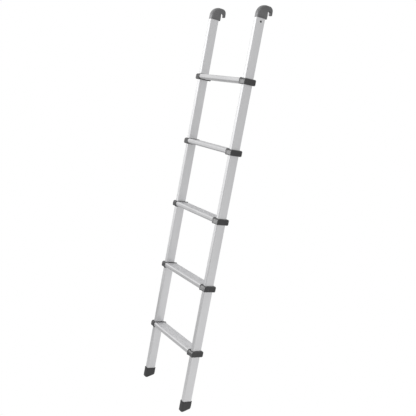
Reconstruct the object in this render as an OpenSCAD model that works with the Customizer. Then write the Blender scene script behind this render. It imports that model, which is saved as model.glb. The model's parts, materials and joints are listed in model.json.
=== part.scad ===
// Hook-on boarding ladder: two tube stiles, hollow steps in moulded collars, moulded hooks and shoes.
// Origin: middle of the rail that the hooks hang on. +X along the rail, +Y behind the ladder, +Z up.

/* [Ladder] */
// Distance between the middles of the two stiles
stile_spacing = 302; // [260:2:400]
// Number of steps
step_count = 5; // [3:1:6]
// Distance from one step to the next
step_spacing = 250; // [200:5:320]
// Drop from the rail's axis to the middle of the first step's collars
first_step_drop = 241; // [120:1:300]
// Drop from the middle of the last step's collars to the tip of the shoes
foot_drop = 228; // [120:1:320]

/* [Stile tube] */
// Depth of the tube, front to back
stile_depth = 36; // [34:1:40]
// Width of the tube, side to side
stile_width = 20; // [18:1:22]
// Wall of the tube
stile_wall = 1.5; // [1:0.1:2]
// Outer corner radius of the tube
stile_corner = 5; // [3:0.5:6]

/* [Step] */
// Depth of a step, front to back
tread_depth = 53.5; // [48:0.5:56]
// Height of a step, over its ribs
tread_height = 18; // [16:0.5:18]
// Wall of a step
tread_wall = 1.6; // [1.2:0.1:2]
// Corner radius along the nose and the heel of a step
tread_corner = 6; // [4:0.5:7]
// How far a step's middle lies above its collars' middle
tread_lift = 1.5; // [1:0.5:2]
// Number of anti-slip ribs on a step
rib_count = 10; // [4:1:12]
// Height of a rib
rib_height = 0.8; // [0.4:0.1:1.2]

/* [Collar] */
// Height of the ring round the stile
collar_height = 22; // [20:1:26]
// Wall of the ring in front of and behind the stile
collar_wall = 7; // [5.5:0.5:8]
// Wall of the ring at the stile's outer side
side_wall = 7; // [6.5:0.5:10]
// How far the socket reaches past the stile's inner side
socket_length = 3.5; // [3:0.5:14]
// Wall of the socket above, in front of and behind the step
socket_wall = 1.8; // [1.5:0.1:2.2]
// How far the collar's tongue reaches into the step, past the socket
tongue_length = 16; // [14:1:40]

/* [Hook] */
// Width of the slot that takes the rail
rail_slot = 14.4; // [12:0.4:16]
// Drop from the rail's axis to the top end of the stile
stile_top_drop = 22.5; // [20:0.5:30]
// Height of the hook's top above the rail's axis
hook_rise = 24; // [22:0.5:26]
// Thickness of the hook's free arm behind the rail
arm_thickness = 7.6; // [7:0.2:10]
// Width of the hook's cap, side to side
cap_width = 23.4; // [23:0.2:26]
// Width of the hook at its free tip
tip_width = 14; // [10:1:20]
// How far the hook's tip reaches below the rail's axis
tip_drop = 6.5; // [5:0.5:12]
// Depth of the spigot inside the stile
spigot_length = 30; // [20:1:40]

/* [Shoe] */
// Wall of the shoe round the stile
shoe_wall = 2.5; // [2:0.5:4]
// Height of the shoe at its toe
shoe_height = 40; // [36:1:50]
// Slope of the sole, toe lower than heel
sole_angle = 19.5; // [10:0.5:22]

/* [Hidden] */
steps = [for (i = [1:step_count]) i];

$fn = 64;
clearance = 0.1;
left = -1;
right = 1;

// Front-to-back places, from the rail's axis
front_overhang = 0.5;
rear_overhang = 5.2;
stile_back = -rail_slot / 2 - rear_overhang;
stile_y = stile_back - stile_depth / 2;
stile_front = stile_back - stile_depth;

// Side-to-side places on the right-hand side, from the ladder's middle
stile_x = stile_spacing / 2;
stile_inner = stile_x - stile_width / 2;
stile_outer = stile_x + stile_width / 2;
socket_end = stile_inner - socket_length;
tread_end = stile_inner - 1.5;
screw_x = socket_end - tongue_length / 2;

// Heights
toe_z = -first_step_drop - (step_count - 1) * step_spacing - foot_drop;
sole_rise = (stile_depth + 2 * shoe_wall) * tan(sole_angle);
stile_bottom = toe_z + sole_rise + 6;
stile_top = -stile_top_drop;

// Chambers inside a step
chamber_depth = (tread_depth - 4 * tread_wall) / 3;
chamber_height = tread_height - rib_height - 2 * tread_wall;

// Fasteners
rivet_r = 2.4;
rivet_head_r = 3.8;
rivet_head_h = 1.4;
rivet_grip = 10;
hook_rivet_z = stile_top - 12;
collar_rivet_sink = 2.5;
collar_rivet_grip = collar_wall - collar_rivet_sink + stile_wall + 3;
screw_r = 1.7;
screw_head_r = 3;
screw_head_h = 2;
screw_grip = 8;

function step_z(i) = -first_step_drop - (i - 1) * step_spacing;

// Rectangle with rounded corners, centred
module rounded_rect(width, depth, r) {
    square([width - 2 * r, depth], center = true);
    square([width, depth - 2 * r], center = true);
    for (sx = [-1, 1], sy = [-1, 1])
        translate([sx * (width / 2 - r), sy * (depth / 2 - r)])
            circle(r);
}

// Extrudes an outline drawn as (Y, Z) along X, from x0 to x1
module along_x(x0, x1) {
    translate([x0, 0, 0])
        rotate([90, 0, 90])
            linear_extrude(x1 - x0)
                children();
}

// Turns a right-hand piece into the piece of the given side
module on_side(side) {
    mirror([side == left ? 1 : 0, 0, 0])
        children();
}

// ---- Stiles ----

// Outline of the tube, made wider all round by grow
module stile_outline(grow) {
    rounded_rect(stile_width + 2 * grow, stile_depth + 2 * grow, stile_corner + grow);
}

module stile(side) {
    color("silver")
        on_side(side)
            difference() {
                translate([stile_x, stile_y, stile_bottom])
                    linear_extrude(stile_top - stile_bottom)
                        difference() {
                            stile_outline(0);
                            stile_outline(-stile_wall);
                        }
                translate([stile_x, stile_y, hook_rivet_z])
                    rotate([0, 90, 0])
                        cylinder(h = stile_width, r = rivet_r + clearance);
                for (i = steps)
                    translate([stile_x, stile_y, step_z(i)])
                        rotate([-90, 0, 0])
                            cylinder(h = stile_depth, r = rivet_r + clearance);
            }
}

// ---- Steps ----

// Outline of a step over its ribs, as (Y, Z) from the collars' middle, made larger by grow
module tread_outline(grow) {
    translate([stile_y, tread_lift])
        rounded_rect(tread_depth + 2 * grow, tread_height + 2 * grow, tread_corner + grow);
}

// Slots between the ribs, cut into the flat top of a step
module rib_slots() {
    flat = tread_depth - 2 * tread_corner;
    pitch = flat / rib_count;
    slot = pitch * 0.45;
    for (k = [0:rib_count])
        translate([stile_y - flat / 2 + k * pitch - slot / 2, tread_lift + tread_height / 2 - rib_height])
            square([slot, 2 * rib_height]);
}

// Three chambers inside a step, with two webs between them
module tread_chambers() {
    translate([stile_y, tread_lift - rib_height / 2])
        intersection() {
            rounded_rect(tread_depth - 2 * tread_wall, chamber_height, tread_corner - tread_wall);
            for (k = [-1, 0, 1])
                translate([k * (chamber_depth + tread_wall), 0])
                    square([chamber_depth, chamber_height], center = true);
        }
}

module tread(i) {
    color("lightgray")
        translate([0, 0, step_z(i)])
            difference() {
                along_x(-tread_end, tread_end)
                    difference() {
                        tread_outline(0);
                        rib_slots();
                        tread_chambers();
                    }
                for (side = [left, right])
                    translate([side * screw_x, stile_y, -tread_height])
                        cylinder(h = tread_height, r = screw_r + clearance);
            }
}

// ---- Collars ----

// Side outline of the ring, as (Y, Z) from its middle: large radius at the upper front
module ring_side() {
    front = stile_front - collar_wall;
    depth = stile_depth + 2 * collar_wall;
    nose_r = 9;
    corner_r = 4;
    intersection() {
        translate([stile_y, 0])
            rounded_rect(depth, collar_height, corner_r);
        union() {
            translate([front + nose_r, collar_height / 2 - nose_r])
                circle(nose_r);
            translate([front + nose_r, -collar_height])
                square([depth, 2 * collar_height]);
            translate([front, -collar_height])
                square([depth, 1.5 * collar_height - nose_r]);
        }
    }
}

// Plan outline of the collar, as (X, Y), with rounded outer corners
module collar_plan() {
    corner_r = 4;
    depth = stile_depth + 2 * collar_wall;
    width = stile_outer + side_wall - socket_end;
    translate([socket_end + width / 2, stile_y])
        rounded_rect(width, depth, corner_r);
    translate([socket_end, stile_y - depth / 2])
        square([width / 2, depth]);
}

// Socket round the step's end, reaching down to the ring's underside
module socket() {
    along_x(socket_end, stile_inner + stile_wall) {
        tread_outline(socket_wall);
        translate([stile_y, -collar_height / 4])
            square([tread_depth - 2 * tread_corner, collar_height / 2], center = true);
    }
}

// Tongue that fills the middle chamber of the step's end
module tongue() {
    gap = 2 * clearance;
    along_x(socket_end - tongue_length, stile_inner - gap)
        translate([stile_y, tread_lift - rib_height / 2])
            square([chamber_depth - 2 * gap, chamber_height - 2 * gap], center = true);
}

module collar(side, i) {
    color("dimgray")
        on_side(side)
            translate([0, 0, step_z(i)])
                difference() {
                    union() {
                        difference() {
                            union() {
                                intersection() {
                                    along_x(stile_inner - 2, stile_outer + side_wall)
                                        ring_side();
                                    translate([0, 0, -collar_height])
                                        linear_extrude(2 * collar_height)
                                            collar_plan();
                                }
                                socket();
                            }
                            along_x(socket_end - 1, tread_end + clearance)
                                tread_outline(clearance);
                        }
                        tongue();
                    }
                    translate([stile_x, stile_y, -collar_height])
                        linear_extrude(2 * collar_height)
                            stile_outline(clearance);
                    collar_rivet_hole();
                    tread_screw_hole();
                }
}

// Stepped hole at the back of the ring for its rivet
module collar_rivet_hole() {
    back = stile_back + collar_wall;
    translate([stile_x, stile_back - 1, 0])
        rotate([-90, 0, 0])
            cylinder(h = collar_wall + 2, r = rivet_r + clearance);
    translate([stile_x, back - collar_rivet_sink, 0])
        rotate([-90, 0, 0])
            cylinder(h = 2 * collar_rivet_sink, r = rivet_head_r + 0.4);
}

// Hole in the tongue and the step's underside for the step's screw
module tread_screw_hole() {
    translate([screw_x, stile_y, -tread_height])
        cylinder(h = tread_height + screw_grip, r = screw_r + clearance);
}

// ---- Hooks ----

// Side outline of a hook, as (Y, Z): cap, arch over the rail and free arm
module hook_side() {
    cap_front = stile_front - front_overhang;
    arm_back = rail_slot / 2 + arm_thickness;
    front_r = 34;
    back_r = 16;
    tip_r = 2.5;
    difference() {
        union() {
            intersection() {
                translate([cap_front + front_r, hook_rise - front_r])
                    circle(front_r);
                translate([cap_front, hook_rise - front_r])
                    square(front_r);
            }
            translate([cap_front + front_r, 0])
                square([arm_back - back_r - cap_front - front_r, hook_rise]);
            intersection() {
                translate([arm_back - back_r, hook_rise - back_r])
                    circle(back_r);
                translate([arm_back - back_r, hook_rise - back_r])
                    square(back_r);
            }
            square([arm_back, hook_rise - back_r]);
            translate([rail_slot / 2 + arm_thickness / 2, 0])
                rounded_rect(arm_thickness, 2 * tip_drop, tip_r);
            translate([cap_front, -stile_top_drop])
                square([-rail_slot / 2 - cap_front, stile_top_drop + hook_rise - front_r]);
        }
        circle(rail_slot / 2);
        translate([-rail_slot / 2, -stile_top_drop])
            square([rail_slot, stile_top_drop]);
    }
}

// Plan outline of a hook, as (X, Y): rounded cap, arm narrowing to its tip
module hook_plan() {
    corner_r = 8;
    cap_front = stile_front - front_overhang;
    cap_back = -rail_slot / 2;
    arm_back = rail_slot / 2 + arm_thickness;
    translate([stile_x, (cap_front + cap_back) / 2])
        rounded_rect(cap_width, cap_back - cap_front, corner_r);
    translate([stile_x, 0])
        polygon([
            [-cap_width / 2, stile_y], [cap_width / 2, stile_y],
            [cap_width / 2, cap_back - 2], [tip_width / 2, 2], [tip_width / 2, arm_back],
            [-tip_width / 2, arm_back], [-tip_width / 2, 2], [-cap_width / 2, cap_back - 2]
        ]);
}

module hook(side) {
    color("#5c5c5e")
        on_side(side)
            difference() {
                union() {
                    intersection() {
                        along_x(stile_x - cap_width / 2, stile_x + cap_width / 2)
                            hook_side();
                        translate([0, 0, -stile_top_drop])
                            linear_extrude(stile_top_drop + hook_rise)
                                hook_plan();
                    }
                    translate([stile_x, stile_y, stile_top - spigot_length])
                        linear_extrude(spigot_length + 1)
                            stile_outline(-stile_wall - 2 * clearance);
                }
                translate([stile_x, stile_y, hook_rivet_z])
                    rotate([0, 90, 0])
                        cylinder(h = stile_width, r = rivet_r + clearance);
            }
}

// ---- Shoes ----

// Side outline of a shoe, as (Y, Z): flat top, sloping sole, round toe
module shoe_side() {
    front = stile_front - shoe_wall;
    depth = stile_depth + 2 * shoe_wall;
    toe_r = 7;
    intersection() {
        translate([front, toe_z])
            square([depth, shoe_height]);
        union() {
            translate([front + toe_r, toe_z + toe_r])
                circle(toe_r);
            translate([front, toe_z + toe_r])
                square([depth, shoe_height]);
            translate([front + toe_r, toe_z])
                square([depth, shoe_height]);
        }
        translate([front + toe_r, toe_z + toe_r])
            rotate(sole_angle)
                translate([-2 * depth, -toe_r])
                    square(4 * depth);
    }
}

module foot(side) {
    grow = shoe_wall;
    color("#424244")
        on_side(side)
            difference() {
                intersection() {
                    along_x(stile_inner - grow, stile_outer + grow)
                        shoe_side();
                    translate([stile_x, stile_y, toe_z])
                        linear_extrude(shoe_height)
                            stile_outline(grow);
                }
                translate([stile_x, stile_y, stile_bottom])
                    linear_extrude(shoe_height)
                        stile_outline(clearance);
            }
}

// ---- Fasteners ----

// Blind rivet with its head's underside at the origin, shank along -Z
module rivet(grip) {
    translate([0, 0, -grip])
        cylinder(h = grip + rivet_head_h / 2, r = rivet_r);
    cylinder(h = rivet_head_h / 2, r = rivet_head_r);
    translate([0, 0, rivet_head_h / 2])
        cylinder(h = rivet_head_h / 2, r1 = rivet_head_r, r2 = rivet_head_r * 0.6);
}

module hook_rivets() {
    color("#3a3a3c")
        for (side = [left, right])
            on_side(side)
                translate([stile_outer, stile_y, hook_rivet_z])
                    rotate([0, 90, 0])
                        rivet(rivet_grip);
}

module collar_rivets() {
    color("#3a3a3c")
        for (side = [left, right], i = steps)
            on_side(side)
                translate([stile_x, stile_back + collar_wall - collar_rivet_sink, step_z(i)])
                    rotate([-90, 0, 0])
                        rivet(collar_rivet_grip);
}

module tread_screws() {
    color("gray")
        for (side = [left, right], i = steps)
            on_side(side)
                translate([screw_x, stile_y, step_z(i) + tread_lift - tread_height / 2])
                    difference() {
                        union() {
                            translate([0, 0, -screw_head_h])
                                cylinder(h = screw_head_h, r = screw_head_r);
                            cylinder(h = screw_grip, r = screw_r);
                        }
                        for (turn = [0, 90])
                            rotate(turn)
                                translate([0, 0, -screw_head_h])
                                    cube([0.8, 3.6, 2], center = true);
                    }
}

stile(left);  // left_stile
stile(right);  // right_stile
for (i = steps) {
    tread(i);
    collar(left, i);
    collar(right, i);
}
hook(left);  // left_hook
hook(right);  // right_hook
foot(left);  // left_foot
foot(right);  // right_foot
hook_rivets();
collar_rivets();
tread_screws();
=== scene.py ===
"""Studio scene of a hook-on boarding ladder with moulded collars, hooks and shoes."""
import json
import math

import bmesh
import bpy
from mathutils import Matrix, Vector


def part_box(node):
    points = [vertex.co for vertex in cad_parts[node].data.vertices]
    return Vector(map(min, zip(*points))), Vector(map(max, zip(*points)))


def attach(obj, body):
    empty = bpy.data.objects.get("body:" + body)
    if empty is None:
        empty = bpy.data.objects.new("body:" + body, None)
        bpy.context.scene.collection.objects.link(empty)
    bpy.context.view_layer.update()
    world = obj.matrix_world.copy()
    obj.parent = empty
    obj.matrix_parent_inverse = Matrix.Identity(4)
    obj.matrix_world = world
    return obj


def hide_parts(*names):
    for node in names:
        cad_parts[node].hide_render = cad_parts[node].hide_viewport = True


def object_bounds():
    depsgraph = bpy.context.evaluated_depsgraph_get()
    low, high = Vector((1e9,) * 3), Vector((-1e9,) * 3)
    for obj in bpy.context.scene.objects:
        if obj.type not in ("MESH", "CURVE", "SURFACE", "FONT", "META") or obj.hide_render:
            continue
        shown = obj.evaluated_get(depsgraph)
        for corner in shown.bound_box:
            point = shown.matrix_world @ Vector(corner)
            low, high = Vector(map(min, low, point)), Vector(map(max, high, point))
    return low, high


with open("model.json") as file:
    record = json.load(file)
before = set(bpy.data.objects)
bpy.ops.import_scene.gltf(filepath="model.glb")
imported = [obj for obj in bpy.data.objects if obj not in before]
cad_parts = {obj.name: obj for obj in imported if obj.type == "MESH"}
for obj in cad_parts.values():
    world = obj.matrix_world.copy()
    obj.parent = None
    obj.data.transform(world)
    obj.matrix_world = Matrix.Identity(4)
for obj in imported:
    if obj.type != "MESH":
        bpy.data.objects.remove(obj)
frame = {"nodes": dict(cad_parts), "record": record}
cad_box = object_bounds()
nodes = frame["nodes"]

MM = 0.001
STEP_COUNT = 5
SIDES = ("left", "right")
PLASTIC_PIECES = bpy.data.collections.new("plastic_pieces")
RIGHT_PLASTIC_PIECES = bpy.data.collections.new("right_plastic_pieces")
TUBE_PIECES = bpy.data.collections.new("tube_pieces")

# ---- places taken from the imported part, and the corner radii of its tubes ----
RAIL_R = frame["record"]["mounts"][0]["dims"]["r_mm"] * MM
STILE_LO, STILE_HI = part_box("right_stile")
STILE_X = (STILE_LO[0] + STILE_HI[0]) / 2
STILE_Y = (STILE_LO[1] + STILE_HI[1]) / 2
STILE_CORNER = 5 * MM
TREAD_LO, TREAD_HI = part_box("tread_1")
TREAD_CORNER = 6 * MM
COLLAR_LO, COLLAR_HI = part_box("right_collar_1")
HOOK_LO, HOOK_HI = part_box("right_hook")
FOOT_LO, FOOT_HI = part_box("right_foot")
FLOOR_Z = cad_box[0][2]

# ---- moulded shapes ----
SEAM = 0.25 * MM
CORNER_STEPS = 8
SHARP_ANGLE = math.radians(38)
# the collar's ring: its height, and where it starts along X
COLLAR_RING_TOP = 22 * MM
COLLAR_RING_START = 144.5 * MM
# the collar's socket for the step: where it ends along X, and how far it stands out past the ring
COLLAR_SOCKET_END = 137.5 * MM
COLLAR_SOCKET_PROUD = 3.55 * MM
COLLAR_RIVET_R = 4.2 * MM
SOLE_SLOPE = math.tan(math.radians(19.5))
# how far the sole's plane passes below the rounded toe, rounded to 0.01 mm
SOLE_DROP = 2.05 * MM


# ---- mesh helpers ----
def rounded_outline(x0, x1, y0, y1, radii):
    """Closed outline of a rectangle; radii run anticlockwise from the corner (x1, y1)."""
    limit = 0.49 * min(x1 - x0, y1 - y0)
    corners = (
        (x1, y1, -1, -1, 0),
        (x0, y1, 1, -1, 90),
        (x0, y0, 1, 1, 180),
        (x1, y0, -1, 1, 270),
    )
    points = []
    for (cx, cy, sx, sy, start), radius in zip(corners, radii):
        r = min(radius, limit)
        for k in range(CORNER_STEPS + 1):
            a = math.radians(start + 90 * k / CORNER_STEPS)
            points.append((cx + sx * r + r * math.cos(a), cy + sy * r + r * math.sin(a)))
    return points


def edge_round(r, steps=5):
    """(inset, offset) pairs that turn a square edge into a quarter circle of radius r."""
    turns = [math.radians(90 * k / steps) for k in range(steps + 1)]
    return [(r * (1 - math.sin(a)), r * (1 - math.cos(a))) for a in turns]


def loft(name, rings):
    """Closed mesh object through rings that all have the same number of points."""
    mesh = bpy.data.meshes.new(name)
    bm = bmesh.new()
    loops = [[bm.verts.new(p) for p in ring] for ring in rings]
    for low, high in zip(loops, loops[1:]):
        for k in range(len(low)):
            j = (k + 1) % len(low)
            bm.faces.new((low[k], low[j], high[j], high[k]))
    bm.faces.new(list(reversed(loops[0])))
    bm.faces.new(loops[-1])
    bmesh.ops.remove_doubles(bm, verts=bm.verts, dist=0.001 * MM)
    bmesh.ops.recalc_face_normals(bm, faces=bm.faces)
    bm.to_mesh(mesh)
    bm.free()
    obj = bpy.data.objects.new(name, mesh)
    bpy.context.scene.collection.objects.link(obj)
    return obj


def cut(obj, cutters):
    """Takes the cutters out of obj and removes them."""
    for cutter in cutters:
        modifier = obj.modifiers.new("cut", "BOOLEAN")
        modifier.operation = "DIFFERENCE"
        modifier.solver = "EXACT"
        modifier.object = cutter
    bpy.context.view_layer.update()
    evaluated = obj.evaluated_get(bpy.context.evaluated_depsgraph_get())
    result = bpy.data.meshes.new_from_object(evaluated)
    obj.modifiers.clear()
    old = obj.data
    obj.data = result
    bpy.data.meshes.remove(old)
    for cutter in cutters:
        bpy.data.objects.remove(cutter)


def transformed_copy(obj, name, matrix):
    """A copy of obj's mesh moved by matrix, with its faces turned outwards again after a mirror."""
    mesh = obj.data.copy()
    mesh.name = name
    mesh.transform(matrix)
    if matrix.determinant() < 0:
        mesh.flip_normals()
    copy = bpy.data.objects.new(name, mesh)
    bpy.context.scene.collection.objects.link(copy)
    return copy


def dress(obj, material, slot, *replaced):
    """Shading, material, light group, body and replaced nodes of a finished piece; slot only picks the
    light group.
    """
    obj.data.shade_smooth()
    obj.data.set_sharp_from_angle(angle=SHARP_ANGLE)
    weighted = obj.modifiers.new("weighted_normals", "WEIGHTED_NORMAL")
    weighted.keep_sharp = True
    obj.data.materials.clear()
    obj.data.materials.append(material)
    if slot in ("hook_plastic", "collar_plastic"):
        PLASTIC_PIECES.objects.link(obj)
        if obj.name.startswith("right"):
            RIGHT_PLASTIC_PIECES.objects.link(obj)
    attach(obj, "root")
    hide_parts(*replaced)


MIRROR = Matrix.Scale(-1, 4, (1, 0, 0))


# ---- hooks ----
def hook_path():
    """Per section: outer Y and Z, inner Y and Z, half width outside and inside, inner bevel."""
    front = HOOK_LO[1]
    back = HOOK_HI[1]
    top = HOOK_HI[2]
    bottom = STILE_HI[2]
    half = (HOOK_HI[0] - HOOK_LO[0]) / 2
    tip_half = 7 * MM
    front_r = 34 * MM
    back_r = 16 * MM
    tip_z = -6.5 * MM
    rim = 0.25 * MM
    groove = 0.35 * MM
    rim_top = bottom + 3 * MM
    neck_z = rim_top + 1.6 * MM
    cap_bevel = 3.2 * MM
    arm_bevel = 1.5 * MM
    inner_extra = 2.5 * MM
    taper_start = 0.35
    taper_power = 1.5
    blend_y = -16 * MM
    blend_length = 20 * MM
    sections = []

    def cap(z, grow):
        sections.append((front - grow, z, -RAIL_R, z, half + grow, half + min(grow, 0), cap_bevel))

    for inset, offset in edge_round(0.8 * MM, 3):
        cap(bottom + offset, rim - inset)
    cap(rim_top - 0.4 * MM, rim)
    cap(rim_top, rim - 0.3 * MM)
    cap(rim_top + 0.1 * MM, -groove)
    cap(rim_top + 0.9 * MM, -groove)
    cap(rim_top + 1.1 * MM, -0.1 * MM)
    cap(neck_z, 0)
    start_z = top - front_r
    for k in range(1, 7):
        t = k / 6
        z_out = neck_z + t * (start_z - neck_z)
        z_in = neck_z - t * neck_z
        taper = max(0, (t - taper_start) / (1 - taper_start)) ** taper_power
        width_in = half - (half - tip_half - inner_extra) * taper
        bevel = cap_bevel + (arm_bevel - cap_bevel) * t
        sections.append((front, z_out, -RAIL_R, z_in, half, width_in, bevel))

    outer = []
    steps_front, steps_top, steps_back = 14, 5, 12
    for k in range(1, steps_front + 1):
        a = math.radians(180 - 90 * k / steps_front)
        y = front + front_r + front_r * math.cos(a)
        outer.append((y, start_z + front_r * math.sin(a)))
    for k in range(1, steps_top + 1):
        flat = back - back_r - front - front_r
        outer.append((front + front_r + flat * k / steps_top, top))
    for k in range(1, steps_back + 1):
        a = math.radians(90 - 90 * k / steps_back)
        outer.append((back - back_r + back_r * math.cos(a), top - back_r + back_r * math.sin(a)))
    count = len(outer)
    for k, (y, z) in enumerate(outer, 1):
        t = k / count
        a = math.radians(180 * (1 - t))
        ease = min(1, max(0, (y - blend_y) / blend_length))
        ease = ease * ease * (3 - 2 * ease)
        width = half + (tip_half - half) * ease
        width_in = min(width, tip_half + inner_extra * (1 - t) ** 2)
        inner_y = RAIL_R * math.cos(a)
        inner_z = RAIL_R * math.sin(a)
        sections.append((y, z, inner_y, inner_z, width, width_in, arm_bevel))

    tip_r = 2.6 * MM
    tip_bevel = 1.2 * MM
    straight_end = tip_z + tip_r
    for k in range(1, 4):
        z_out = (top - back_r) + (straight_end - top + back_r) * k / 3
        z_in = straight_end * k / 3
        sections.append((back, z_out, RAIL_R, z_in, tip_half, tip_half, arm_bevel))
    for inset, offset in reversed(edge_round(tip_r, 5)):
        z = tip_z + offset
        width = tip_half - inset
        sections.append((back - inset, z, RAIL_R + inset, z, width, width, tip_bevel))
    return sections


def hook_ring(outer_y, outer_z, inner_y, inner_z, half_out, half_in, inner_r):
    """Rounded section of the hook, wider outside than inside, from its outer to its inner point."""
    span = Vector((inner_y - outer_y, inner_z - outer_z))
    depth = span.length
    along = span / depth
    outer_r = min(8 * MM, 0.7 * half_out, 0.42 * depth)
    flat = rounded_outline(-half_out, half_out, 0, depth, (inner_r, inner_r, outer_r, outer_r))
    ring = []
    for x, s in flat:
        narrow = 1 + (half_in / half_out - 1) * max(0, s / depth)
        ring.append((STILE_X + x * narrow, outer_y + along.x * s, outer_z + along.y * s))
    return ring


def make_hooks(material):
    right = loft("right_hook_moulding", [hook_ring(*section) for section in hook_path()])
    left = transformed_copy(right, "left_hook_moulding", MIRROR)
    dress(right, material, "hook_plastic", "right_hook")
    dress(left, material, "hook_plastic", "left_hook")


# ---- collars ----
def collar_section(x, y0, y1, z0, z1, inset, radii):
    shrunk = [max(0.3 * MM, r - inset) for r in radii]
    outline = rounded_outline(y0 + inset, y1 - inset, z0 + inset, z1 - inset, shrunk)
    return [(x, y, z) for y, z in outline]


def make_collar_block():
    """The first right-hand collar, with the stile's hole and the step's pocket cut into it."""
    bottom = COLLAR_LO[2]
    ring_top = bottom + COLLAR_RING_TOP
    y0 = COLLAR_LO[1]
    y1 = COLLAR_HI[1]
    ring_y0 = y0 + COLLAR_SOCKET_PROUD
    ring_y1 = y1 - COLLAR_SOCKET_PROUD
    socket = (5 * MM, 7.5 * MM, 5 * MM, 5 * MM)
    ring = (5 * MM, 8 * MM, 4.5 * MM, 5 * MM)
    top = COLLAR_HI[2]
    lip_end = COLLAR_SOCKET_END + 1.6 * MM
    lip_step = 0.35 * MM
    rings = []
    for inset, offset in edge_round(1.0 * MM, 4):
        x = COLLAR_SOCKET_END + offset
        rings.append(collar_section(x, y0, y1, bottom, top, inset, socket))
    rings.append(collar_section(lip_end, y0, y1, bottom, top, 0, socket))
    rings.append(collar_section(lip_end + 1 * MM, y0, y1, bottom, top, lip_step, socket))
    rings.append(collar_section(COLLAR_RING_START, ring_y0, ring_y1, bottom, ring_top, 0, ring))
    for inset, offset in reversed(edge_round(3.6 * MM, 7)):
        x = COLLAR_HI[0] - offset
        rings.append(collar_section(x, ring_y0, ring_y1, bottom, ring_top, inset, ring))
    block = loft("right_collar_1_moulding", rings)
    rivet_z = (bottom + ring_top) / 2
    cutters = [stile_cutter(bottom, top), pocket_cutter(), rivet_cutter(rivet_z, ring_y1)]
    cut(block, cutters)
    return block


def stile_cutter(bottom, top):
    """Prism of the stile's outline, flared at both ends so that the hole's rims are chamfered."""
    levels = (
        (bottom - 1 * MM, 1.6 * MM),
        (bottom + 0.6 * MM, SEAM),
        (top - 1.9 * MM, SEAM),
        (top + 1 * MM, 3.2 * MM),
    )
    rings = []
    for z, grow in levels:
        outline = rounded_outline(
            STILE_LO[0] - grow, STILE_HI[0] + grow, STILE_LO[1] - grow, STILE_HI[1] + grow,
            [STILE_CORNER + grow] * 4,
        )
        rings.append([(x, y, z) for x, y in outline])
    return loft("stile_cutter", rings)


def pocket_cutter():
    """Prism of the step's outline, where the step's end sits in the collar."""
    levels = (
        (COLLAR_SOCKET_END - 1 * MM, 1.2 * MM),
        (COLLAR_SOCKET_END + 0.5 * MM, SEAM),
        (TREAD_HI[0] + SEAM, SEAM),
    )
    rings = []
    for x, grow in levels:
        outline = rounded_outline(
            TREAD_LO[1] - grow, TREAD_HI[1] + grow, TREAD_LO[2] - grow, TREAD_HI[2] + grow,
            [TREAD_CORNER + grow] * 4,
        )
        rings.append([(x, y, z) for y, z in outline])
    return loft("pocket_cutter", rings)


def rivet_cutter(z, back):
    """Counterbore at the back of the collar for its rivet."""
    levels = (
        (back - 2.5 * MM, COLLAR_RIVET_R),
        (back - 0.5 * MM, COLLAR_RIVET_R),
        (back + 1 * MM, COLLAR_RIVET_R + 1.5 * MM),
    )
    steps = 32
    rings = []
    for y, r in levels:
        ring = []
        for k in range(steps):
            a = 2 * math.pi * k / steps
            ring.append((STILE_X + r * math.cos(a), y, z + r * math.sin(a)))
        rings.append(ring)
    return loft("rivet_cutter", rings)


def make_collars(material):
    first = make_collar_block()
    base_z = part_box("right_collar_1")[0][2]
    for side in SIDES:
        for i in range(1, STEP_COUNT + 1):
            node = f"{side}_collar_{i}"
            shift = Matrix.Translation((0, 0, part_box(node)[0][2] - base_z))
            if node == "right_collar_1":
                continue
            matrix = shift @ MIRROR if side == "left" else shift
            piece = transformed_copy(first, f"{node}_moulding", matrix)
            dress(piece, material, "collar_plastic", node)
    dress(first, material, "collar_plastic", "right_collar_1")


# ---- shoes ----
def shoe_section(z, inset, slope, corner, toe_inset=0):
    """Outline that is level for slope 0 and follows the sole for 1; toe_inset moves the toe back."""
    outline = rounded_outline(
        FOOT_LO[0] + inset, FOOT_HI[0] - inset, FOOT_LO[1] + inset + toe_inset, FOOT_HI[1] - inset,
        [max(0.5 * MM, corner - inset)] * 4,
    )
    return [(x, y, z + slope * SOLE_SLOPE * (y - FOOT_LO[1])) for x, y in outline]


def make_feet(material):
    top = FOOT_HI[2]
    toe = FOOT_LO[2]
    corner = 7 * MM
    wall = STILE_LO[0] - FOOT_LO[0] - SEAM
    # (depth below the top, inset), from the gap round the stile over the rim to the groove below it
    rim_profile = (
        (4 * MM, wall),
        (0.7 * MM, wall),
        (0, wall - 0.6 * MM),
        (0, 0.7 * MM),
        (0.2 * MM, 0.2 * MM),
        (0.7 * MM, 0),
        (3.0 * MM, 0),
        (3.5 * MM, 0.5 * MM),
        (4.5 * MM, 0.5 * MM),
        (5.0 * MM, 0.1 * MM),
    )
    rings = [shoe_section(top - down, inset, 0, corner) for down, inset in rim_profile]
    toe_r = 7 * MM
    side_share = 0.35
    lowest = toe_r * (1 + SOLE_SLOPE - math.sqrt(1 + SOLE_SLOPE ** 2))
    rings.append(shoe_section(toe + 16 * MM, 0, 0.45, corner))
    for inset, offset in reversed(edge_round(toe_r, 7)):
        side = side_share * inset
        rings.append(shoe_section(toe - lowest + offset, side, 1, corner, inset - side))
    right = loft("right_foot_moulding", rings)
    cut(right, sole_cutters())
    left = transformed_copy(right, "left_foot_moulding", MIRROR)
    dress(right, material, "shoe_rubber", "right_foot")
    dress(left, material, "shoe_rubber", "left_foot")


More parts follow.
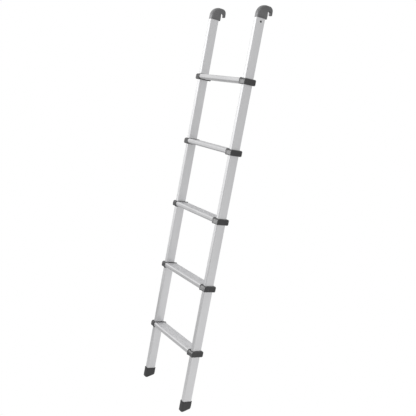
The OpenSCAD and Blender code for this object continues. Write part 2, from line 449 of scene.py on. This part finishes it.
def sole_cutters():
    """Grooves across the sole."""
    cutters = []
    depth = 1.2 * MM
    groove = 0.8 * MM
    x0 = FOOT_LO[0] - 1 * MM
    x1 = FOOT_HI[0] + 1 * MM
    for k in range(5):
        y = FOOT_LO[1] + (10 + 6 * k) * MM
        z = FOOT_LO[2] - SOLE_DROP + SOLE_SLOPE * (y - FOOT_LO[1])
        low = z - 3 * MM
        high = z + depth
        narrow = 0.6 * groove
        profile = ((y - groove, low), (y + groove, low), (y + narrow, high), (y - narrow, high))
        rings = [[(x, py, pz) for py, pz in profile] for x in (x0, x1)]
        cutters.append(loft(f"groove_{k}", rings))
    return cutters


# ---- rivets and screws ----
def lathe_rings(profile, centre, axis, across, steps=28):
    """Rings of a turned piece; profile is (radius, height along axis)."""
    up = axis.cross(across)
    rings = []
    for radius, height in profile:
        ring = []
        for k in range(steps):
            a = 2 * math.pi * k / steps
            offset = across * math.cos(a) + up * math.sin(a)
            ring.append(centre + axis * height + offset * radius)
        rings.append(ring)
    return rings


# (radius, height above the seat) in millimetres, from the shank to the hollow in the head
RIVET_PROFILE = (
    (2.3, -8.0), (2.3, 0.0), (3.6, 0.0), (3.8, 0.15), (3.75, 0.45), (3.45, 0.85), (2.8, 1.2),
    (2.0, 1.4), (1.25, 1.45), (1.05, 1.2), (1.0, 0.6), (0.5, 0.5), (0.05, 0.5),
)


def join(name, objects):
    """One object that holds the meshes of several."""
    bm = bmesh.new()
    for obj in objects:
        bm.from_mesh(obj.data)
        bpy.data.objects.remove(obj)
    mesh = bpy.data.meshes.new(name)
    bm.to_mesh(mesh)
    bm.free()
    joined = bpy.data.objects.new(name, mesh)
    bpy.context.scene.collection.objects.link(joined)
    return joined


def make_rivets(material):
    profile = [(r * MM, h * MM) for r, h in RIVET_PROFILE]
    lo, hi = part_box("hook_rivets")
    hook_z = (lo[2] + hi[2]) / 2
    heads = []
    for sign in (-1, 1):
        centre = Vector((sign * STILE_HI[0], STILE_Y, hook_z))
        rings = lathe_rings(profile, centre, Vector((sign, 0, 0)), Vector((0, 1, 0)))
        heads.append(loft("rivet", rings))
    dress(join("hook_rivet_heads", heads), material, "rivet_steel", "hook_rivets")
    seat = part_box("collar_rivets")[1][1] - 1.4 * MM
    heads = []
    for side in SIDES:
        sign = -1 if side == "left" else 1
        for i in range(1, STEP_COUNT + 1):
            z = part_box(f"{side}_collar_{i}")[0][2] + COLLAR_RING_TOP / 2
            centre = Vector((sign * STILE_X, seat, z))
            rings = lathe_rings(profile, centre, Vector((0, 1, 0)), Vector((1, 0, 0)))
            heads.append(loft("rivet", rings))
    dress(join("collar_rivet_heads", heads), material, "rivet_steel", "collar_rivets")


# ---- materials ----
class Shader:
    """A Principled material and short ways to add nodes to it."""

    def __init__(self, name, roughness, metallic=0.0):
        self.material = bpy.data.materials.new(name)
        self.material.use_nodes = True
        self.tree = self.material.node_tree
        self.bsdf = self.tree.nodes["Principled BSDF"]
        self.bsdf.inputs["Roughness"].default_value = roughness
        self.bsdf.inputs["Metallic"].default_value = metallic

    def node(self, kind, **settings):
        node = self.tree.nodes.new(kind)
        for name, value in settings.items():
            setattr(node, name, value)
        return node

    def link(self, source, target):
        self.tree.links.new(source, target)

    def noise(self, stretch, detail=3.0, rough=0.55):
        """Noise in object space; stretch is its number of features per metre along X, Y and Z."""
        coords = self.node("ShaderNodeTexCoord")
        mapping = self.node("ShaderNodeMapping")
        mapping.inputs["Scale"].default_value = stretch
        texture = self.node("ShaderNodeTexNoise")
        texture.inputs["Scale"].default_value = 1.0
        texture.inputs["Detail"].default_value = detail
        texture.inputs["Roughness"].default_value = rough
        self.link(coords.outputs["Object"], mapping.inputs["Vector"])
        self.link(mapping.outputs["Vector"], texture.inputs["Vector"])
        return texture.outputs["Fac"]

    def remap(self, value, low, high, source=(0.3, 0.7)):
        ramp = self.node("ShaderNodeMapRange")
        ramp.inputs["From Min"].default_value = source[0]
        ramp.inputs["From Max"].default_value = source[1]
        ramp.inputs["To Min"].default_value = low
        ramp.inputs["To Max"].default_value = high
        self.link(value, ramp.inputs["Value"])
        return ramp.outputs["Result"]

    def colour(self, value, dark, light, source=(0.3, 0.7)):
        ramp = self.node("ShaderNodeValToRGB")
        ramp.color_ramp.elements[0].position = source[0]
        ramp.color_ramp.elements[1].position = source[1]
        ramp.color_ramp.elements[0].color = (*dark, 1)
        ramp.color_ramp.elements[1].color = (*light, 1)
        self.link(value, ramp.inputs["Fac"])
        self.link(ramp.outputs["Color"], self.bsdf.inputs["Base Color"])

    def bump(self, layers):
        """layers are (height output, depth in metres), from the coarsest to the finest."""
        normal = None
        for height, depth in layers:
            bump = self.node("ShaderNodeBump")
            bump.inputs["Strength"].default_value = 1.0
            bump.inputs["Distance"].default_value = depth
            self.link(height, bump.inputs["Height"])
            if normal:
                self.link(normal, bump.inputs["Normal"])
            normal = bump.outputs["Normal"]
        self.link(normal, self.bsdf.inputs["Normal"])


def aluminium(name, lines, dark, light, roughness):
    """Satin anodised metal with fine drawn lines; lines is the stretch of the noise that makes them."""
    shader = Shader(name, roughness, metallic=0.9)
    drawn = shader.noise(lines, detail=2.0)
    cloudy = shader.noise((14, 14, 5), detail=3.0)
    speck = shader.noise((900, 900, 900), detail=2.0)
    shader.colour(cloudy, dark, light)
    shader.link(shader.remap(drawn, roughness - 0.05, roughness + 0.06), shader.bsdf.inputs["Roughness"])
    shader.bump(((drawn, 0.00003), (speck, 0.00001)))
    return shader.material


def moulded_plastic(name, dark, light, roughness, grain):
    """Moulded plastic with a fine spark-eroded grain and slightly uneven gloss."""
    shader = Shader(name, roughness)
    shader.bsdf.inputs["IOR"].default_value = 1.5
    fine = shader.noise((grain, grain, grain), detail=2.0, rough=0.6)
    flow = shader.noise((35, 35, 35), detail=3.0)
    shader.colour(flow, dark, light)
    shader.link(shader.remap(flow, roughness - 0.05, roughness + 0.05), shader.bsdf.inputs["Roughness"])
    shader.bump(((flow, 0.0001), (fine, 0.00004)))
    return shader.material


def rubber(name):
    shader = Shader(name, 0.6)
    fine = shader.noise((700, 700, 700), detail=3.0, rough=0.7)
    dust = shader.noise((60, 60, 25), detail=4.0, rough=0.65)
    shader.colour(dust, (0.040, 0.040, 0.042), (0.060, 0.060, 0.061))
    shader.link(shader.remap(dust, 0.5, 0.72), shader.bsdf.inputs["Roughness"])
    shader.bump(((dust, 0.0001), (fine, 0.00006)))
    return shader.material


def fastener_metal(name, dark, light, roughness):
    shader = Shader(name, roughness, metallic=0.9)
    turned = shader.noise((1500, 1500, 1500), detail=2.0)
    worn = shader.noise((250, 250, 250), detail=3.0)
    shader.colour(worn, dark, light)
    shader.link(shader.remap(worn, roughness - 0.08, roughness + 0.1), shader.bsdf.inputs["Roughness"])
    shader.bump(((worn, 0.00003), (turned, 0.00001)))
    return shader.material


def paint_nodes(names, material):
    for name in names:
        nodes[name].data.materials.clear()
        nodes[name].data.materials.append(material)


# ---- studio ----
# radiance of the softboxes
KEY_LIGHT = 0.37
TUBE_LIGHT = 0.35
TUBE_TOP_LIGHT = 0.38
GLOSS_LIGHT = 4.0
# strength of the surroundings that the object reflects: sky at the horizon and above, then floor
AMBIENT_LOW = 0.58
AMBIENT_HIGH = 0.92
FLOOR_BESIDE = 0.80
FLOOR_DISTANT = 0.52
FLOOR_FRONT = 0.36
WHITE = (1, 1, 1, 1)


def studio_world():
    """Plain white behind the object, a soft grey gradient in what it reflects."""
    world = bpy.data.worlds.new("studio")
    bpy.context.scene.world = world
    world.use_nodes = True
    tree = world.node_tree
    tree.nodes.clear()
    coords = tree.nodes.new("ShaderNodeTexCoord")
    split = tree.nodes.new("ShaderNodeSeparateXYZ")
    ramp = tree.nodes.new("ShaderNodeMapRange")
    ramp.inputs["From Min"].default_value = -0.1
    ramp.inputs["From Max"].default_value = 0.8
    ramp.inputs["To Min"].default_value = AMBIENT_LOW
    ramp.inputs["To Max"].default_value = AMBIENT_HIGH
    ambient = tree.nodes.new("ShaderNodeBackground")
    ambient.inputs["Color"].default_value = WHITE
    white = tree.nodes.new("ShaderNodeBackground")
    white.inputs["Color"].default_value = WHITE
    path = tree.nodes.new("ShaderNodeLightPath")
    mix = tree.nodes.new("ShaderNodeMixShader")
    output = tree.nodes.new("ShaderNodeOutputWorld")
    tree.links.new(coords.outputs["Generated"], split.inputs["Vector"])
    tree.links.new(split.outputs["Z"], ramp.inputs["Value"])
    tree.links.new(ramp.outputs["Result"], ambient.inputs["Strength"])
    tree.links.new(path.outputs["Is Camera Ray"], mix.inputs["Fac"])
    tree.links.new(ambient.outputs["Background"], mix.inputs[1])
    tree.links.new(white.outputs["Background"], mix.inputs[2])
    tree.links.new(mix.outputs["Shader"], output.inputs["Surface"])


def floor_material():
    """Floor that is white to the camera; its bounce falls off towards the front and far behind."""
    material = bpy.data.materials.new("studio_floor")
    material.use_nodes = True
    tree = material.node_tree
    tree.nodes.clear()
    coords = tree.nodes.new("ShaderNodeTexCoord")
    split = tree.nodes.new("ShaderNodeSeparateXYZ")
    total = tree.nodes.new("ShaderNodeMath")
    total.operation = "ADD"
    bounce = tree.nodes.new("ShaderNodeEmission")
    white = tree.nodes.new("ShaderNodeEmission")
    path = tree.nodes.new("ShaderNodeLightPath")
    mix = tree.nodes.new("ShaderNodeMixShader")
    product = tree.nodes.new("ShaderNodeMath")
    product.operation = "MULTIPLY"
    output = tree.nodes.new("ShaderNodeOutputMaterial")
    tree.links.new(coords.outputs["Object"], split.inputs["Vector"])
    tree.links.new(split.outputs["X"], total.inputs[0])
    tree.links.new(split.outputs["Y"], total.inputs[1])
    spans = (
        ((-1.6, 0.4), (FLOOR_FRONT, FLOOR_BESIDE)),
        ((1.5, 11.0), (1.0, FLOOR_DISTANT / FLOOR_BESIDE)),
    )
    for socket, (source, target) in zip(product.inputs, spans):
        ramp = tree.nodes.new("ShaderNodeMapRange")
        ramp.inputs["From Min"].default_value = source[0]
        ramp.inputs["From Max"].default_value = source[1]
        ramp.inputs["To Min"].default_value = target[0]
        ramp.inputs["To Max"].default_value = target[1]
        tree.links.new(total.outputs["Value"], ramp.inputs["Value"])
        tree.links.new(ramp.outputs["Result"], socket)
    tree.links.new(product.outputs["Value"], bounce.inputs["Strength"])
    tree.links.new(path.outputs["Is Camera Ray"], mix.inputs["Fac"])
    tree.links.new(bounce.outputs["Emission"], mix.inputs[1])
    tree.links.new(white.outputs["Emission"], mix.inputs[2])
    tree.links.new(mix.outputs["Shader"], output.inputs["Surface"])
    return material


def add_floor():
    size = 12.0
    mesh = bpy.data.meshes.new("floor")
    signs = ((-1, -1), (1, -1), (1, 1), (-1, 1))
    corners = [(x * size, y * size, FLOOR_Z) for x, y in signs]
    mesh.from_pydata(corners, [], [(0, 1, 2, 3)])
    mesh.materials.append(floor_material())
    floor = bpy.data.objects.new("floor", mesh)
    bpy.context.scene.collection.objects.link(floor)


def add_softbox(name, centre, width, height, radiance, receivers):
    """Upright panel that faces the ladder from the front; receivers limits what it lights."""
    data = bpy.data.lights.new(name, "AREA")
    data.shape = "RECTANGLE"
    data.size = width
    data.size_y = height
    data.energy = radiance * math.pi * width * height
    light = bpy.data.objects.new(name, data)
    turn = Vector((0, 1, 0)).to_track_quat("-Z", "Y")
    light.matrix_world = Matrix.Translation(centre) @ turn.to_matrix().to_4x4()
    light.visible_camera = False
    bpy.context.scene.collection.objects.link(light)
    if receivers:
        light.light_linking.receiver_collection = receivers


# name, centre, width, height, radiance, the pieces it lights (None: all)
SOFTBOXES = (
    ("key", (-1.2, -1.0, -0.4), 1.8, 2.0, KEY_LIGHT, None),
    ("tube", (-1.2, -1.01, -0.4), 1.8, 2.0, TUBE_LIGHT, TUBE_PIECES),
    ("tube_top", (-1.2, -1.02, 0.2), 1.8, 1.2, TUBE_TOP_LIGHT, TUBE_PIECES),
    ("gloss_high", (-0.58, -1.03, -0.25), 1.76, 1.0, GLOSS_LIGHT, PLASTIC_PIECES),
    ("gloss_low", (-0.48, -1.03, -1.1), 1.56, 0.7, GLOSS_LIGHT, RIGHT_PLASTIC_PIECES),
)


# ---- camera ----
CAMERA_PLACE = Vector((2.082, -1.35365, -0.367))
CAMERA_RIGHT = Vector((0.515, 0.837, 0.184))
CAMERA_LOOK = Vector((-0.829, 0.541, -0.142))
CAMERA_LENS = 57.3
CAMERA_SENSOR = 36.0
CAMERA_SHIFT = (-0.15 / 416, 0.4 / 416)


def add_camera():
    data = bpy.data.cameras.new("camera")
    data.lens = CAMERA_LENS
    data.sensor_width = CAMERA_SENSOR
    data.clip_end = 60.0
    data.shift_x, data.shift_y = CAMERA_SHIFT
    camera = bpy.data.objects.new("camera", data)
    bpy.context.scene.collection.objects.link(camera)
    bpy.context.scene.camera = camera
    look = CAMERA_LOOK.normalized()
    up = CAMERA_RIGHT.cross(look).normalized()
    right = look.cross(up)
    turn = Matrix((right, up, -look)).transposed()
    camera.matrix_world = Matrix.Translation(CAMERA_PLACE) @ turn.to_4x4()


def build():
    tube = aluminium("anodised_aluminium", (1600, 1600, 6), (0.74, 0.74, 0.75), (0.79, 0.79, 0.80), 0.38)
    step = aluminium("step_aluminium", (6, 1600, 1600), (0.75, 0.75, 0.76), (0.80, 0.80, 0.81), 0.38)
    hook = moulded_plastic("hook_plastic", (0.120, 0.120, 0.123), (0.148, 0.148, 0.151), 0.4, 1200)
    collar = moulded_plastic("collar_plastic", (0.037, 0.037, 0.038), (0.049, 0.049, 0.050), 0.24, 1400)
    shoe = rubber("shoe_rubber")
    rivet = fastener_metal("rivet_steel", (0.09, 0.09, 0.092), (0.14, 0.14, 0.142), 0.4)
    screw = fastener_metal("screw_steel", (0.42, 0.42, 0.43), (0.55, 0.55, 0.56), 0.3)
    paint_nodes(("left_stile", "right_stile"), tube)
    for side in SIDES:
        TUBE_PIECES.objects.link(nodes[f"{side}_stile"])
    paint_nodes([f"tread_{i}" for i in range(1, STEP_COUNT + 1)], step)
    paint_nodes(("tread_screws",), screw)
    make_hooks(hook)
    make_collars(collar)
    make_feet(shoe)
    make_rivets(rivet)


build()
studio_world()
add_floor()
for softbox in SOFTBOXES:
    add_softbox(*softbox)
add_camera()
bpy.context.scene.view_settings.view_transform = "Standard"
